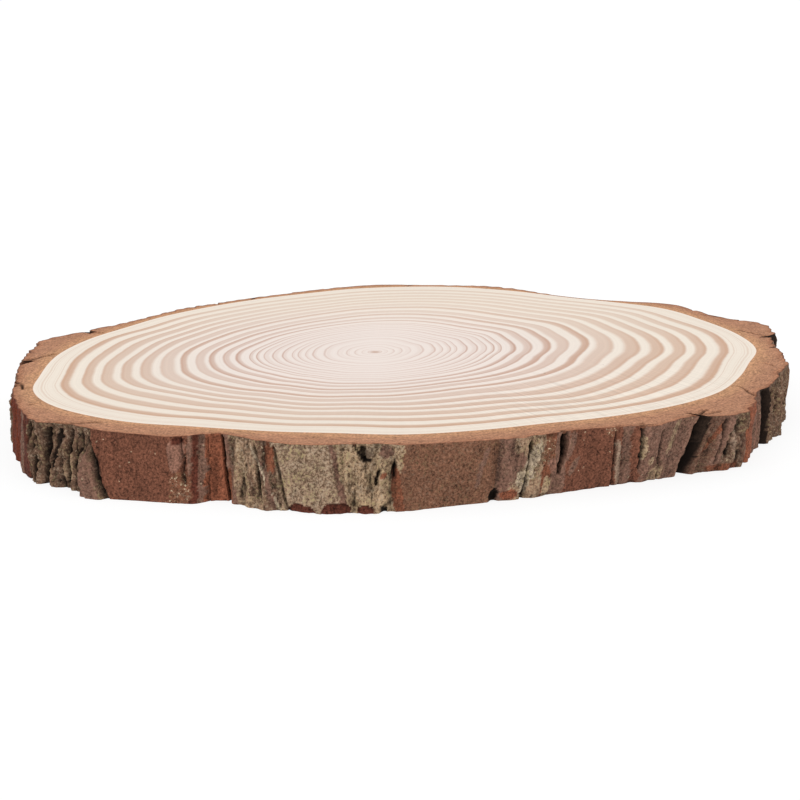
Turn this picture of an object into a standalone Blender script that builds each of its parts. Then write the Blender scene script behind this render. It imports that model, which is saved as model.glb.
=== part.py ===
# Wood slice: a disc sawn across a softwood trunk, with its bark still on.
# It lies on its lower saw cut. The origin is under the middle of its box, +Z is up.
# Angles are degrees round the pith, from +X towards +Y. Lists hold millimetres.

import math

import bmesh
import bpy
import numpy as np

MM = 0.001
THICKNESS = 18.5            # between the two saw cuts
PITH = (-13.0, -6.24)       # the tree's centre, from the middle of the slice
COLUMN_STEP = 1.5           # degrees between upright rows of points on plain bark
LEVELS = (0.0, 0.09, 0.22, 0.37, 0.52, 0.67, 0.81, 0.92, 1.0)   # shares of the thickness
LEAST_BARK = 2.0            # the bark is nowhere thinner than this
WAVE_SEED = 11

WOOD_COLOUR = (0.80, 0.62, 0.47, 1.0)
BARK_COLOUR = (0.16, 0.085, 0.055, 1.0)

# Where the wood ends and the bark begins: angle, radius.
WOOD_EDGE = (
    (-161, 112.5), (-152, 118), (-143, 120), (-134, 118.5), (-125, 115), (-118, 110.5),
    (-111, 108), (-103, 106.5), (-96, 105.5), (-85, 107), (-73, 106.5), (-62, 107),
    (-54, 110), (-45, 114), (-36, 118), (-29, 120.5), (-17, 122.5), (-8, 125),
    (2, 131), (12, 133), (24, 134), (37, 136), (45, 131.5), (52, 128.5),
    (67, 130.5), (77, 131), (86, 128), (95, 123.5), (105, 116), (117, 110),
    (129, 105.5), (143, 102.5), (155, 101), (168, 103.5), (180, 106.5),
)

# Bark outside the wood: angle, width at the upper cut, width at the lower cut.
BARK_WIDTH = (
    (-180, 12, 12), (-168, 9.5, 10), (-155, 7, 8), (-149, 7.5, 8), (-144, 9.5, 9.5),
    (-140, 12, 12.5), (-136.5, 14.5, 14.5), (-133, 12.5, 13.5), (-130, 11, 14),
    (-127, 12, 16), (-121, 12.5, 15.5), (-116, 12.5, 15), (-113.5, 8.5, 14),
    (-111.5, 6.5, 10), (-108.5, 8, 11), (-104.5, 11, 14.5), (-100, 13, 15),
    (-95, 13, 17), (-92, 11.5, 15.5), (-89.5, 10.5, 14.5), (-86, 11.5, 13),
    (-80, 11, 10.5), (-73, 11.5, 9.5), (-66, 11.5, 9.5), (-60, 10.5, 8.5),
    (-54, 12.5, 8), (-50, 15.5, 8.5), (-47, 14, 9), (-44, 13, 9.5),
    (-42, 15, 10.5), (-40, 18.5, 11.5), (-37.5, 20, 14.5), (-34, 17.5, 15), (-29, 13, 12),
    (-25.5, 10.5, 10.5), (-22, 12, 12), (-14, 12, 13), (-6, 13, 12.5), (-1, 10, 11),
    (4, 8, 10), (9.5, 10.5, 11), (14, 15.5, 13), (19.5, 18, 14), (23.5, 12.5, 12),
    (28, 8.5, 9), (39, 9.5, 9), (42.5, 6, 7), (46, 3.5, 5), (60, 3, 5), (65, 5.5, 6),
    (82, 4.5, 6), (91, 7.5, 7.5), (98, 6, 7), (117, 4.5, 6), (128, 5, 6), (134, 6, 6),
    (143, 4, 5.5), (149, 5.5, 6), (156.5, 7.5, 8), (165, 12, 12), (170.5, 15.5, 14.5),
    (175, 13.5, 13),
)

# Cracks and furrows: angle at mid height, half width, depth, lean of its top in degrees,
# the shares of the thickness that it runs from and to, and how much wider its foot is.
FISSURES = (
    (-173, 0.8, 5.0, 0.0, 0.0, 1.0, 0.0), (-156, 0.7, 1.8, 0.0, 0.0, 0.92, 0.0),
    (-146, 0.7, 1.2, 0.0, 0.3, 0.92, 0.0), (-137.6, 0.8, 2.5, 0.6, 0.0, 0.9, 0.0),
    (-134.4, 1.2, 4.5, 0.8, 0.0, 0.88, 0.2), (-131.0, 1.3, 4.5, 0.0, 0.0, 0.88, 0.2),
    (-126.4, 0.6, 1.2, -4.2, 0.0, 0.8, 0.0), (-115.0, 0.45, 0.8, -1.2, 0.3, 0.93, 0.0),
    (-112.4, 0.45, 0.7, -0.8, 0.0, 0.93, 0.0), (-110.1, 0.55, 3.5, -1.8, 0.0, 0.93, 0.1),
    (-104.8, 0.7, 1.0, -1.8, 0.2, 0.9, 0.0), (-101.6, 0.6, 0.9, -2.2, 0.0, 0.9, 0.0),
    (-90.6, 1.7, 2.2, -0.6, 0.78, 0.92, 0.0), (-88.9, 0.4, 1.8, 0.8, 0.44, 0.6, 0.0),
    (-87.9, 1.0, 3.0, 0.0, 0.0, 0.1, 0.0), (-86.7, 0.7, 2.6, 0.8, 0.54, 0.68, 0.0),
    (-72.4, 1.3, 3.5, 0.6, 0.0, 0.1, 0.0), (-68.0, 0.6, 1.2, 0.8, 0.0, 0.85, 0.0),
    (-62.5, 0.9, 5.0, 0.8, 0.38, 0.93, -0.3), (-54.5, 0.5, 0.9, -0.8, 0.0, 0.9, 0.0),
    (-51.0, 0.55, 2.2, -1.8, 0.3, 0.93, -0.3), (-47.8, 0.6, 0.8, -1.6, 0.0, 0.85, 0.0),
    (-42.8, 1.0, 6.0, -0.2, 0.0, 1.0, 0.0), (-42.5, 2.1, 6.0, 0.0, 0.0, 0.5, 0.0),
    (-39.4, 0.5, 2.0, -0.6, 0.2, 0.9, 0.0), (-37.8, 0.5, 2.0, -0.9, 0.3, 0.9, 0.0),
    (-33.6, 0.6, 1.2, -1.5, 0.0, 0.85, 0.0), (-29.6, 0.6, 1.8, -1.0, 0.0, 0.9, 0.0),
    (-23.4, 1.8, 7.0, -0.2, 0.0, 0.9, 0.15), (-18.8, 0.6, 1.2, 0.6, 0.0, 0.9, 0.0),
    (-13.6, 1.0, 3.0, 1.0, 0.0, 0.92, 0.2), (-7.0, 0.6, 1.2, 0.5, 0.0, 0.92, 0.0),
    (3.4, 0.8, 2.2, 0.0, 0.0, 1.0, 0.0), (10.4, 1.5, 4.5, 0.0, 0.0, 1.0, 0.0),
    (16.6, 0.9, 1.8, 0.6, 0.0, 0.9, 0.0), (22.0, 0.8, 2.0, 0.4, 0.0, 1.0, 0.0),
    (27.2, 1.1, 2.6, -0.6, 0.0, 0.92, 0.2), (33.4, 1.0, 1.8, -0.4, 0.0, 0.9, 0.0),
    (41.0, 0.8, 2.4, 0.5, 0.0, 0.92, 0.0), (50.0, 0.8, 0.9, 0.8, 0.0, 0.8, 0.0),
    (57.5, 0.9, 1.0, 0.4, 0.2, 0.9, 0.0), (67.0, 1.0, 1.5, -0.7, 0.0, 0.92, 0.0),
    (75.0, 0.8, 1.1, -0.9, 0.0, 0.7, 0.0), (84.5, 1.1, 1.8, -0.3, 0.0, 0.92, 0.2),
    (92.5, 0.9, 1.6, 0.6, 0.3, 0.9, 0.0), (99.0, 1.0, 2.0, 0.9, 0.0, 0.92, 0.1),
    (108.0, 0.8, 1.3, 0.7, 0.0, 0.8, 0.0), (116.0, 1.0, 1.6, -0.3, 0.0, 0.92, 0.0),
    (126.0, 1.1, 2.4, -0.8, 0.0, 1.0, 0.2), (137.5, 0.9, 1.4, -0.4, 0.2, 0.9, 0.0),
    (146.0, 1.0, 1.7, 0.5, 0.0, 0.92, 0.0), (154.0, 0.9, 1.8, 0.7, 0.0, 0.8, 0.0),
    (161.4, 1.7, 4.5, 0.3, 0.0, 1.0, 0.1), (168.0, 0.8, 2.0, 0.0, 0.0, 0.8, 0.0),
)

# Plates of bark that stand proud of their neighbours or lie back: first angle, last
# angle, height, and the shares of the thickness that it covers.
PLATES = (
    (-128.9, -126.6, 1.4, 0.0, 0.6), (-115.6, -112.6, -0.5, 0.3, 1.0),
    (-112.2, -110.4, -0.4, 0.0, 1.0), (-101.8, -94.2, 0.4, 0.0, 1.0),
    (-93.6, -87.2, 0.6, 0.0, 0.86), (-72.0, -69.0, 0.6, 0.2, 1.0),
    (-67.8, -63.4, 0.8, 0.1, 0.9), (-53.9, -51.2, -0.5, 0.0, 1.0),
    (-50.6, -48.2, 0.5, 0.2, 1.0), (-18.4, -14.0, 0.8, 0.0, 0.8),
    (-6.6, -1.0, -0.8, 0.3, 1.0), (12.6, 16.2, 0.8, 0.0, 0.7),
    (28.4, 32.6, 0.9, 0.0, 1.0), (51.0, 56.6, 0.7, 0.0, 0.8),
    (68.0, 74.2, 0.8, 0.2, 1.0), (85.6, 91.6, -0.6, 0.0, 0.9),
    (100.0, 107.2, 0.9, 0.0, 1.0), (117.0, 125.0, 0.7, 0.0, 0.9),
    (138.6, 145.0, 0.8, 0.0, 1.0), (155.0, 160.0, 0.9, 0.2, 1.0),
)

# How rough the bark is: angle, 0 for a smooth plate to 1 for deep old bark.
ROUGHNESS = (
    (-165, 0.3), (-152, 0.15), (-141, 0.4), (-137, 0.9), (-129, 0.9), (-125, 0.2), (-112, 0.15),
    (-107, 0.6), (-102, 0.1), (-95, 0.1), (-91.5, 0.6), (-87.5, 0.7), (-84, 0.1), (-73, 0.15),
    (-67, 0.6), (-60, 0.1), (-53, 0.1), (-46, 0.15), (-38, 0.6), (-28, 0.5), (-18, 0.7),
    (0, 0.5), (14, 0.8), (30, 0.6), (50, 0.4), (68, 0.8), (85, 0.4), (100, 0.7),
    (118, 0.5), (132, 0.8), (148, 0.5), (162, 0.9), (176, 0.5),
)


def closed_curve(knots, column=1):
    """A smooth function of the angle that passes through the knots and meets itself."""
    angles = np.array([knot[0] % 360 for knot in knots], float)
    values = np.array([knot[column] for knot in knots], float)
    order = np.argsort(angles)
    angles = angles[order]
    values = values[order]
    around = np.concatenate([angles[-2:] - 360, angles, angles[:2] + 360])
    over = np.concatenate([values[-2:], values, values[:2]])
    step = np.diff(around)
    rise = np.diff(over) / step
    slope = (rise[:-1] * step[1:] + rise[1:] * step[:-1]) / (step[:-1] + step[1:])
    around = around[1:-1]
    over = over[1:-1]

    def value(angle):
        angle = np.asarray(angle, float) % 360
        i = np.clip(np.searchsorted(around, angle, side="right") - 1, 0, len(around) - 2)
        h = around[i + 1] - around[i]
        t = (angle - around[i]) / h
        ends = over[i] * (1 + 2 * t) * (1 - t) ** 2 + over[i + 1] * t * t * (3 - 2 * t)
        return ends + h * t * (1 - t) * (slope[i] * (1 - t) - slope[i + 1] * t)

    return value


wood_radius = closed_curve(WOOD_EDGE)
bark_at_top = closed_curve(BARK_WIDTH, 1)
bark_at_foot = closed_curve(BARK_WIDTH, 2)
roughness = closed_curve(ROUGHNESS)
column_lean = closed_curve([(fissure[0], fissure[3]) for fissure in FISSURES])


def turn(angle, start):
    """Degrees from start to the angle, the short way round."""
    return (np.asarray(angle, float) - start + 180) % 360 - 180


def eased(value):
    value = np.clip(value, 0, 1)
    return value * value * (3 - 2 * value)


def between(level, low, high, fade=0.07):
    """1 where the level lies from low to high, fading out past any end inside the bark."""
    inside = np.ones_like(np.asarray(level, float))
    if low > 0:
        inside = inside * eased((level - low + fade) / fade)
    if high < 1:
        inside = inside * eased((high + fade - level) / fade)
    return inside


def wave_relief(angle, level):
    """Lumps of old bark, longer up and down than round it, as a sum of seeded waves."""
    draw = np.random.default_rng(WAVE_SEED)
    height = np.zeros(np.broadcast(angle, level).shape)
    for _ in range(14):
        count = draw.integers(34, 150)
        climb = draw.uniform(-5.0, 5.0)
        phase = draw.uniform(0, 2 * math.pi)
        height = height + np.sin(np.radians(angle * count) + climb * level + phase)
    return 0.26 * height


def bark_height(angle, level):
    """Bark outside the wood, in millimetres, at an angle and a share of the thickness."""
    height = bark_at_foot(angle) * (1 - level) + bark_at_top(angle) * level
    height = height + wave_relief(angle, level) * (0.15 + 0.85 * roughness(angle))
    radius = wood_radius(angle) + height
    for first, last, raised, low, high in PLATES:
        shift = (level - 0.5) * column_lean(angle)
        inner = np.minimum(turn(angle - shift, first), -turn(angle - shift, last))
        height = height + raised * eased(inner / 0.35) * between(level, low, high)
    for middle, half_width, depth, lean, low, high, foot in FISSURES:
        across = turn(angle, middle + lean * (level - 0.5)) * np.radians(radius)
        width = half_width * (1 + foot * (1 - 2 * level))
        share = eased(1.15 - np.abs(across) / width) * between(level, low, high)
        height = height - depth * share
    return np.maximum(height, LEAST_BARK)


def column_angles():
    """Angles of the upright rows of points, closer together at each fissure."""
    close = []
    for middle, half_width, *_ in FISSURES:
        degrees = math.degrees(half_width / (wood_radius(middle) + 10))
        for place in (-1.3, -0.6, 0.0, 0.6, 1.3):
            close.append(middle + place * degrees)
    close = np.sort(np.array(close) % 360)
    kept = [close[0]]
    for angle in close[1:]:
        if angle - kept[-1] > 0.18:
            kept.append(angle)
    plain = np.arange(0, 360, COLUMN_STEP)
    gap = np.abs(turn(plain[:, None], np.array(kept)[None, :])).min(axis=1)
    return np.sort(np.concatenate([kept, plain[gap > 0.5 * COLUMN_STEP]]))


def ring(angles, radius, level):
    """One closed row of points at a share of the thickness, in metres."""
    x = PITH[0] + radius * np.cos(np.radians(angles))
    y = PITH[1] + radius * np.sin(np.radians(angles))
    z = np.full_like(x, level * THICKNESS)
    return np.stack([x, y, z], axis=1) * MM


def slice_rings():
    """Rows of points from the wood's lower edge, out and up the bark, to its upper edge."""
    columns = column_angles()
    lean = column_lean(columns)
    rings = []
    for level in LEVELS:
        angles = columns + lean * (level - 0.5)
        outside = ring(angles, wood_radius(angles) + bark_height(angles, level), level)
        if level == LEVELS[0]:
            rings.append(ring(angles, wood_radius(angles), level))
        rings.append(outside)
        if level == LEVELS[-1]:
            rings.append(ring(angles, wood_radius(angles), level))
    return rings


def material(name, colour, roughness_value):
    made = bpy.data.materials.new(name)
    made.use_nodes = True
    shader = made.node_tree.nodes["Principled BSDF"]
    shader.inputs["Base Color"].default_value = colour
    shader.inputs["Roughness"].default_value = roughness_value
    shader.inputs["Metallic"].default_value = 0.0
    made.diffuse_color = colour
    return made


def make_slice():
    """The whole slice as one closed solid: both saw cuts, and the bark's relief between."""
    mesh_tool = bmesh.new()
    rows = [[mesh_tool.verts.new(point) for point in row] for row in slice_rings()]
    around = len(rows[0])
    for lower, upper in zip(rows, rows[1:]):
        for i in range(around):
            j = (i + 1) % around
            face = mesh_tool.faces.new((lower[i], lower[j], upper[j], upper[i]))
            face.material_index = 1
    mesh_tool.faces.new(list(reversed(rows[0])))
    mesh_tool.faces.new(rows[-1])
    mesh = bpy.data.meshes.new("wood_slice")
    mesh_tool.to_mesh(mesh)
    mesh_tool.free()
    mesh.materials.append(material("wood", WOOD_COLOUR, 0.75))
    mesh.materials.append(material("bark", BARK_COLOUR, 0.9))
    mesh.shade_smooth()
    mesh.set_sharp_from_angle(angle=math.radians(35))
    wood_slice = bpy.data.objects.new("wood_slice", mesh)
    bpy.context.scene.collection.objects.link(wood_slice)
    return wood_slice


for old in list(bpy.data.objects):
    bpy.data.objects.remove(old, do_unlink=True)

make_slice()
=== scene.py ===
# Wood slice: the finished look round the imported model.
# Tables are in millimetres and in degrees round the pith, from +X towards +Y.
# A level is a share of the thickness, from the lower saw cut to the upper one.

import itertools
import math

import bpy
import numpy as np
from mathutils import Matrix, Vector


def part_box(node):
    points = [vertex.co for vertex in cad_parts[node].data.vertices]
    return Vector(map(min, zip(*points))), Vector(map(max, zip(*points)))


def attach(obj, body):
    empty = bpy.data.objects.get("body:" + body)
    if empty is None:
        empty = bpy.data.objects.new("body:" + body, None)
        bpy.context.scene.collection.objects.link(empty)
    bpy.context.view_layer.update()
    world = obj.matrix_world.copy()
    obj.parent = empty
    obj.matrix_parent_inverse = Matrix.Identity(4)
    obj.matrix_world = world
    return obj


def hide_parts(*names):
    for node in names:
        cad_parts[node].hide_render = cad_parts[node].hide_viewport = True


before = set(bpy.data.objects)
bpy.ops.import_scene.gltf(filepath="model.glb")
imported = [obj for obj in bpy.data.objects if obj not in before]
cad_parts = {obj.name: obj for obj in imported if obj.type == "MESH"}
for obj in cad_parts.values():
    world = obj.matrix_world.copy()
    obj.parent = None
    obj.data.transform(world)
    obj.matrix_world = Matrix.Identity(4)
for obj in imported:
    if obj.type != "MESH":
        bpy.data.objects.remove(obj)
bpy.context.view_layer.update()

mm = 0.001
lowCorner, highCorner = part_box("wood_slice")
thickness = (highCorner[2] - lowCorner[2]) / mm
pith = (-13, -6.24)


# Outline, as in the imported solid

outline = {
    # where the wood ends and the bark begins: angle, radius
    "woodEdge": (
        (-161, 112.5), (-152, 118), (-143, 120), (-134, 118.5), (-125, 115), (-118, 110.5), (-111, 108),
        (-103, 106.5), (-96, 105.5), (-85, 107), (-73, 106.5), (-62, 107), (-54, 110), (-45, 114),
        (-36, 118), (-29, 120.5), (-17, 122.5), (-8, 125), (2, 131), (12, 133), (24, 134), (37, 136),
        (45, 131.5), (52, 128.5), (67, 130.5), (77, 131), (86, 128), (95, 123.5), (105, 116),
        (117, 110), (129, 105.5), (143, 102.5), (155, 101), (168, 103.5), (180, 106.5),
    ),
    # bark outside the wood: angle, width at the upper cut, width at the lower cut
    "barkWidth": (
        (-180, 12, 12), (-168, 9.5, 10), (-155, 7, 8), (-149, 7.5, 8), (-144, 9.5, 9.5),
        (-140, 12, 12.5), (-136.5, 14.5, 14.5), (-133, 12.5, 13.5), (-130, 11, 14), (-127, 12, 16),
        (-121, 12.5, 15.5), (-116, 12.5, 15), (-113.5, 8.5, 14), (-111.5, 6.5, 10), (-108.5, 8, 11),
        (-104.5, 11, 14.5), (-100, 13, 15), (-95, 13, 17), (-92, 11.5, 15.5), (-89.5, 10.5, 14.5),
        (-86, 11.5, 13), (-80, 11, 10.5), (-73, 11.5, 9.5), (-66, 11.5, 9.5), (-60, 10.5, 8.5),
        (-54, 12.5, 8), (-50, 15.5, 8.5), (-47, 14, 9), (-44, 13, 9.5), (-42, 15, 10.5),
        (-40, 18.5, 11.5), (-37.5, 20, 14.5), (-34, 17.5, 15), (-29, 13, 12), (-25.5, 10.5, 10.5),
        (-22, 12, 12), (-14, 12, 13), (-6, 13, 12.5), (-1, 10, 11), (4, 8, 10), (9.5, 10.5, 11),
        (14, 15.5, 13), (19.5, 18, 14), (23.5, 12.5, 12), (28, 8.5, 9), (39, 9.5, 9), (42.5, 6, 7),
        (46, 3.5, 5), (60, 3, 5), (65, 5.5, 6), (82, 4.5, 6), (91, 7.5, 7.5), (98, 6, 7), (117, 4.5, 6),
        (128, 5, 6), (134, 6, 6), (143, 4, 5.5), (149, 5.5, 6), (156.5, 7.5, 8), (165, 12, 12),
        (170.5, 15.5, 14.5), (175, 13.5, 13),
    ),
    "leastBark": 2,
}


def closedCurve(knots, column=1):
    # a smooth function of the angle that passes through the knots and meets itself
    pairs = sorted((knot[0] % 360, knot[column]) for knot in knots)
    angles, values = np.array(pairs, float).T
    around = np.concatenate([angles[-2:] - 360, angles, angles[:2] + 360])
    over = np.concatenate([values[-2:], values, values[:2]])
    step = np.diff(around)
    rise = np.diff(over) / step
    slope = (rise[:-1] * step[1:] + rise[1:] * step[:-1]) / (step[:-1] + step[1:])
    around = around[1:-1]
    over = over[1:-1]

    def value(angle):
        angle = np.asarray(angle, float) % 360
        i = np.clip(np.searchsorted(around, angle, side="right") - 1, 0, len(around) - 2)
        h = around[i + 1] - around[i]
        t = (angle - around[i]) / h
        ends = over[i] * (1 + 2 * t) * (1 - t) ** 2 + over[i + 1] * t * t * (3 - 2 * t)
        return ends + h * t * (1 - t) * (slope[i] * (1 - t) - slope[i + 1] * t)

    return value


woodRadius = closedCurve(outline["woodEdge"])
barkAtTop = closedCurve(outline["barkWidth"], 1)
barkAtFoot = closedCurve(outline["barkWidth"], 2)


def turnFrom(start, angle):
    # degrees from start to the angle, the short way round
    return (np.asarray(angle, float) - start + 180) % 360 - 180


def eased(value):
    value = np.clip(value, 0, 1)
    return value * value * (3 - 2 * value)


def between(level, low, high):
    # 1 from low to high, fading out past an end inside the bark
    fade = barkRelief["fade"]
    inside = np.ones_like(np.asarray(level, float))
    if low > 0:
        inside = inside * eased((level - low + fade) / fade)
    if high < 1:
        inside = inside * eased((high + fade - level) / fade)
    return inside


def softNoise(points, seed):
    # smooth random values in space, about -1 to 1, from a lattice that repeats
    side = 48
    lattice = np.random.default_rng(seed).uniform(-1, 1, (side, side, side))
    cell = np.floor(points).astype(int)
    part = eased(points - cell)
    total = np.zeros(points.shape[:-1])
    for corner in itertools.product((0, 1), repeat=3):
        weight = np.prod(np.where(corner, part, 1 - part), axis=-1)
        i, j, k = np.moveaxis((cell + corner) % side, -1, 0)
        total = total + weight * lattice[i, j, k]
    return total


# Bark: its relief and which kind of bark lies where

barkRelief = {
    # cracks and furrows: angle at mid height, half width, depth, lean of the top in
    # degrees, lowest and highest level, how much wider the foot is; a few are calmer
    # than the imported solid's
    "fissures": (
        (-173, 0.8, 5, 0, 0, 1, 0), (-156, 0.7, 1.8, 0, 0, 0.92, 0), (-146, 0.7, 1.2, 0, 0.3, 0.92, 0),
        (-137.6, 0.8, 2.5, 0.6, 0, 0.9, 0), (-134.4, 0.9, 2.4, 0.8, 0, 0.88, 0.2),
        (-131, 0.9, 1.6, 0, 0, 0.88, 0.2), (-126.4, 0.6, 1.2, -4.2, 0, 0.8, 0),
        (-115, 0.45, 0.8, -1.2, 0.3, 0.93, 0), (-112.4, 0.45, 0.7, -0.8, 0, 0.93, 0),
        (-110.1, 0.55, 3.5, -1.8, 0, 0.93, 0.1), (-104.8, 0.7, 1, -1.8, 0.2, 0.9, 0),
        (-101.6, 0.6, 0.9, -2.2, 0, 0.9, 0), (-90.6, 1.1, 2, -0.6, 0.8, 0.92, 0),
        (-88.9, 0.4, 1.8, 0.8, 0.44, 0.6, 0), (-87.9, 1.3, 1.5, 0, 0, 0.1, 0),
        (-86.7, 0.6, 1.4, 0.8, 0.54, 0.68, 0), (-72.4, 1.5, 1.3, 0.6, 0, 0.1, 0),
        (-68, 0.6, 1.2, 0.8, 0, 0.85, 0), (-62.5, 0.9, 5, 0.8, 0.38, 0.93, -0.3),
        (-54.5, 0.5, 0.9, -0.8, 0, 0.9, 0), (-51, 0.55, 2.2, -1.8, 0.3, 0.93, -0.3),
        (-47.8, 0.6, 0.8, -1.6, 0, 0.85, 0), (-42.6, 1, 6, 1.2, 0, 1, 0.3),
        (-42.3, 1.8, 6, 1.2, 0, 0.5, 0.2), (-39.4, 0.5, 2, -0.6, 0.2, 0.9, 0),
        (-37.8, 0.5, 2, -0.9, 0.3, 0.9, 0), (-33.6, 0.6, 1.2, -1.5, 0, 0.85, 0),
        (-29.6, 0.6, 1.8, -1, 0, 0.9, 0), (-23.4, 1.8, 7, -0.2, 0, 0.9, 0.15),
        (-18.8, 0.6, 1.2, 0.6, 0, 0.9, 0), (-13.6, 1, 3, 1, 0, 0.92, 0.2),
        (-7, 0.6, 1.2, 0.5, 0, 0.92, 0), (3.4, 0.8, 2.2, 0, 0, 1, 0), (10.4, 1.5, 4.5, 0, 0, 1, 0),
        (16.6, 0.9, 1.8, 0.6, 0, 0.9, 0), (22, 0.8, 2, 0.4, 0, 1, 0),
        (27.2, 1.1, 2.6, -0.6, 0, 0.92, 0.2), (33.4, 1, 1.8, -0.4, 0, 0.9, 0),
        (41, 0.8, 2.4, 0.5, 0, 0.92, 0), (50, 0.8, 0.9, 0.8, 0, 0.8, 0),
        (57.5, 0.9, 1, 0.4, 0.2, 0.9, 0), (67, 1, 1.5, -0.7, 0, 0.92, 0),
        (75, 0.8, 1.1, -0.9, 0, 0.7, 0), (84.5, 1.1, 1.8, -0.3, 0, 0.92, 0.2),
        (92.5, 0.9, 1.6, 0.6, 0.3, 0.9, 0), (99, 1, 2, 0.9, 0, 0.92, 0.1),
        (108, 0.8, 1.3, 0.7, 0, 0.8, 0), (116, 1, 1.6, -0.3, 0, 0.92, 0),
        (126, 1.1, 2.4, -0.8, 0, 1, 0.2), (137.5, 0.9, 1.4, -0.4, 0.2, 0.9, 0),
        (146, 1, 1.7, 0.5, 0, 0.92, 0), (154, 0.9, 1.8, 0.7, 0, 0.8, 0),
        (161.4, 1.7, 4.5, 0.3, 0, 1, 0.1), (168, 0.8, 2, 0, 0, 0.8, 0),
    ),
    # plates that stand proud or lie back: first angle, last angle, height, lowest and
    # highest level
    "plates": (
        (-128.9, -126.6, 1.4, 0, 0.6), (-115.6, -112.6, -0.5, 0.3, 1), (-112.2, -110.4, -0.4, 0, 1),
        (-101.8, -94.2, 0.4, 0, 1), (-93.6, -87.2, 0.6, 0, 0.86), (-72, -69, 0.6, 0.2, 1),
        (-67.8, -63.4, 0.8, 0.1, 0.9), (-53.9, -51.2, -0.5, 0, 1), (-50.6, -48.2, 0.5, 0.2, 1),
        (-18.4, -14, 0.8, 0, 0.8), (-6.6, -1, -0.8, 0.3, 1), (12.6, 16.2, 0.8, 0, 0.7),
        (28.4, 32.6, 0.9, 0, 1), (51, 56.6, 0.7, 0, 0.8), (68, 74.2, 0.8, 0.2, 1),
        (85.6, 91.6, -0.6, 0, 0.9), (100, 107.2, 0.9, 0, 1), (117, 125, 0.7, 0, 0.9),
        (138.6, 145, 0.8, 0, 1), (155, 160, 0.9, 0.2, 1),
    ),
    # how lumpy the bark is as a whole: angle, 0 to 1
    "roughness": (
        (-165, 0.3), (-152, 0.15), (-141, 0.4), (-137, 0.9), (-129, 0.9), (-125, 0.2), (-112, 0.15),
        (-107, 0.6), (-102, 0.1), (-95, 0.1), (-91.5, 0.6), (-87.5, 0.7), (-84, 0.1), (-73, 0.15),
        (-67, 0.6), (-60, 0.1), (-53, 0.1), (-46, 0.15), (-38, 0.6), (-28, 0.5), (-18, 0.7), (0, 0.5),
        (14, 0.8), (30, 0.6), (50, 0.4), (68, 0.8), (85, 0.4), (100, 0.7), (118, 0.5), (132, 0.8),
        (148, 0.5), (162, 0.9), (176, 0.5),
    ),
    "waveSeed": 11,
    "waveCount": 14,
    "waveHeight": 0.26,
    "waveTurns": (34, 150),  # waves in one turn round the slice
    "waveClimb": 5,  # of a wave up the side, in radians
    "evenWaves": 0.15,  # share of the waves that calm bark has too
    "calmWaves": 0.5,  # how far the waves fade under the upper cut
    "crackShoulder": 1.15,  # how open a crack is at its mouth
    "plateEdge": 0.35,  # degrees over which a plate rises
    "fade": 0.07,  # share of the thickness over which a form ends
    "darkFrom": 1,  # deeper cracks get painted shade inside
    "darkOver": 2.4,  # and this much deeper the painted shade is black
}

# kinds of bark: colour in 0 to 255, lichen on it, height of its lumps, depth of its
# crevices, strength of its upright streaks, cream specks on it
barkKinds = {
    "smooth": ((110, 70, 54), 0, 0.04, 0, 0.7, 0.35),
    "darkRed": ((88, 48, 37), 0, 0.07, 0, 0.7, 0),
    "redBrown": ((97, 45, 29), 0, 0.09, 0, 0.7, 0.05),
    "rust": ((116, 70, 51), 0.1, 0.1, 0, 0.5, 0),
    "tan": ((114, 79, 61), 0.16, 0.06, 0, 0.25, 0),
    "mauve": ((113, 83, 70), 0.14, 0.13, 0.1, 0.7, 0.2),
    "scale": ((128, 92, 77), 0, 0.05, 0, 0.3, 0),
    "old": ((104, 79, 64), 0.55, 0.52, 0.8, 1.5, 0.45),
    "olive": ((148, 120, 97), 0.75, 0.3, 0.38, 0.9, 0.15),
    "lichen": ((142, 118, 97), 1, 0.1, 0, 0.1, 0),
    "lumpy": ((158, 132, 105), 1, 0.42, 0.4, 0.1, 0),
    "pale": ((170, 152, 130), 0.8, 0.26, 0.1, 0.1, 0.3),
    "specked": ((112, 72, 54), 0.35, 0.25, 0.1, 0.3, 1),
    # shade is no bark of its own: painted shade, nearly black, laid in crevices, gaps, holes and
    # notches
    "shade": ((38, 28, 22), 0, 0.25, 0.5, 0.2, 0),
    "orange": ((131, 79, 58), 0, 0.08, 0, 0.7, 0.05),
    "ridged": ((98, 70, 57), 0.25, 0.2, 0.4, 1.2, 0.2),
    "grey": ((132, 108, 92), 0.55, 0.2, 0.1, 0.2, 0.2),
    "stone": ((98, 82, 68), 0.6, 0.3, 0.2, 0.2, 0),
}
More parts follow.
